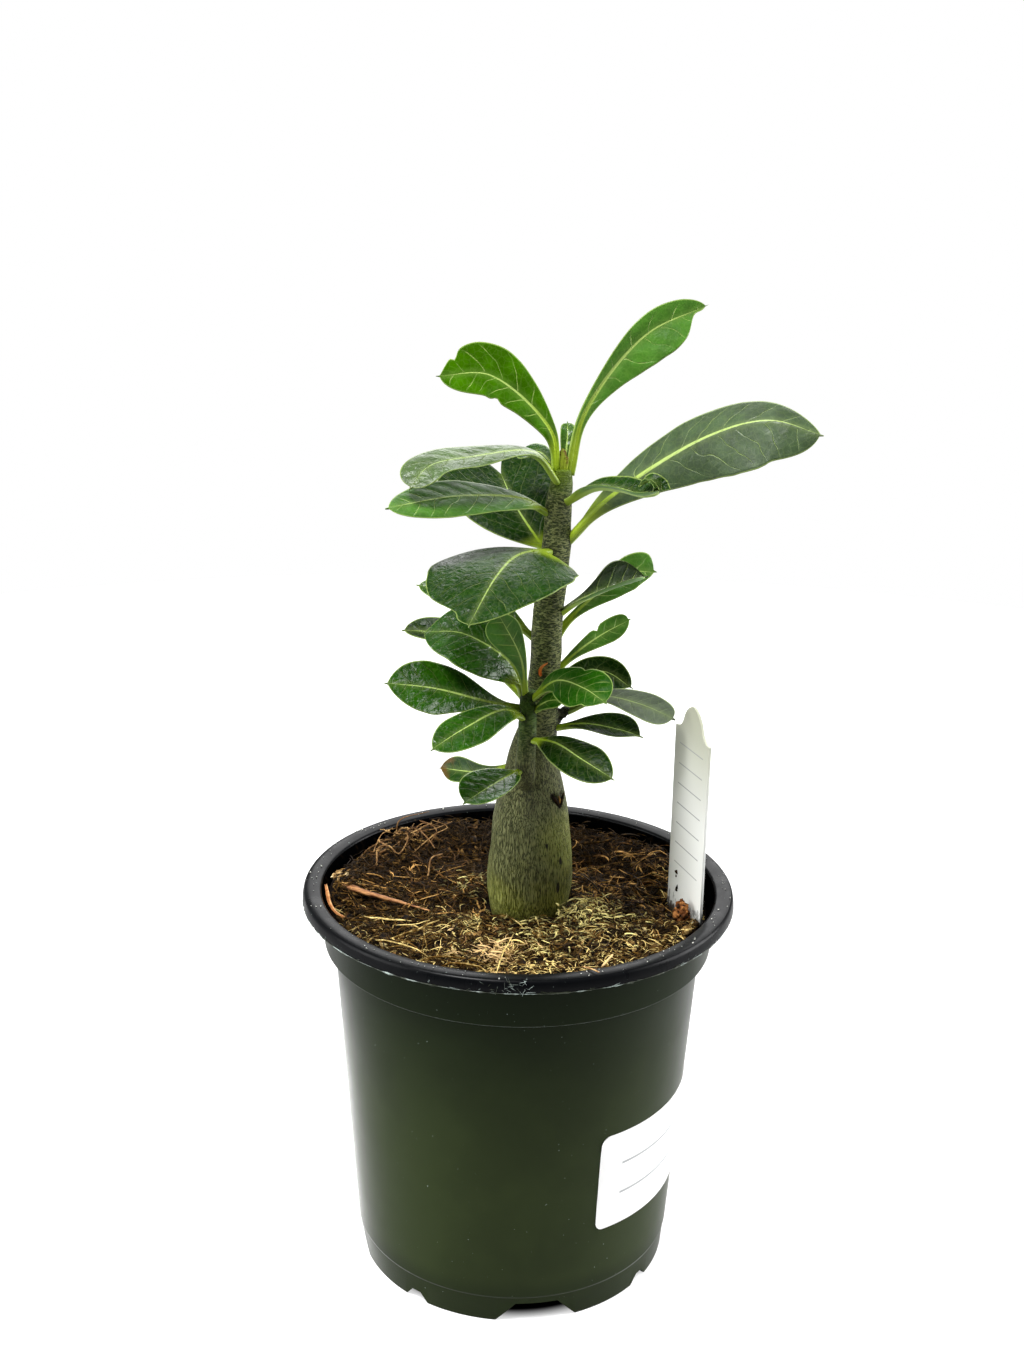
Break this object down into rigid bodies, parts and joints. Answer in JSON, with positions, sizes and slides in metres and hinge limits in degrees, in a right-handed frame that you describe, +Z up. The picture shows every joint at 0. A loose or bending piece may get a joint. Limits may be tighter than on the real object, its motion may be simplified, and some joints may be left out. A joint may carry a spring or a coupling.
{
  "type": "potted desert rose adenium",
  "caption": "Young desert rose with a swollen grey-green base and broad leaves, growing in peat and coir in a round plastic nursery pot with a plain plant tag.",
  "frame": {"origin": "on the ground, under the middle of the bounding box; the pot's own axis lies 5.3 mm from it towards -X", "axes": "+Z up; -Y towards the viewer of the picture, the side of the forked front stem; +X towards the plant tag"},
  "size_m": [0.1246, 0.114, 0.2557],
  "materials": {
    "pot_plastic": "satin",
    "label_paper": "satin",
    "soil": "matte",
    "bark": "satin",
    "leaf": "satin",
    "young_leaf": "satin",
    "dry_bract": "matte",
    "tag_plastic": "satin",
    "wood": "matte",
    "pale_chip": "matte",
    "root_fibre": "matte"
  },
  "bodies": {
    "root": {"nursery_pot": "pot_plastic", "pot_label": "label_paper", "potting_soil": "soil", "caudex_trunk": "bark", "leaf_crown_left": "young_leaf", "leaf_crown_right": "leaf", "leaf_crown_back_left": "leaf", "leaf_crown_back": "leaf", "leaf_drooping_left": "leaf", "leaf_curled_right": "leaf", "leaf_flat_left": "leaf", "leaf_long_right": "leaf", "leaf_notched_back": "leaf", "leaf_broad_front": "leaf", "leaf_folded_right": "leaf", "leaf_behind_broad": "leaf", "leaf_stalked_right": "leaf", "leaf_side_upright": "leaf", "leaf_side_dark": "leaf", "leaf_side_dull": "leaf", "leaf_side_low": "leaf", "leaf_branch_back_left": "leaf", "leaf_branch_large": "leaf", "leaf_branch_upright": "leaf", "leaf_branch_far_left": "leaf", "leaf_branch_low_left": "leaf", "leaf_branch_right": "young_leaf", "leaf_branch_small": "leaf", "leaf_branch_low_right": "leaf", "leaf_shoulder_front": "leaf", "leaf_shoulder_back": "leaf", "apical_bud": "young_leaf", "dried_bract": "dry_bract", "plant_tag": "tag_plastic", "soil_clump": "soil", "wood_splinter": "wood", "bark_chip_right": "wood", "bark_chip_left": "pale_chip", "root_strand_1": "root_fibre", "root_strand_2": "root_fibre"}
  },
  "joints": []
}
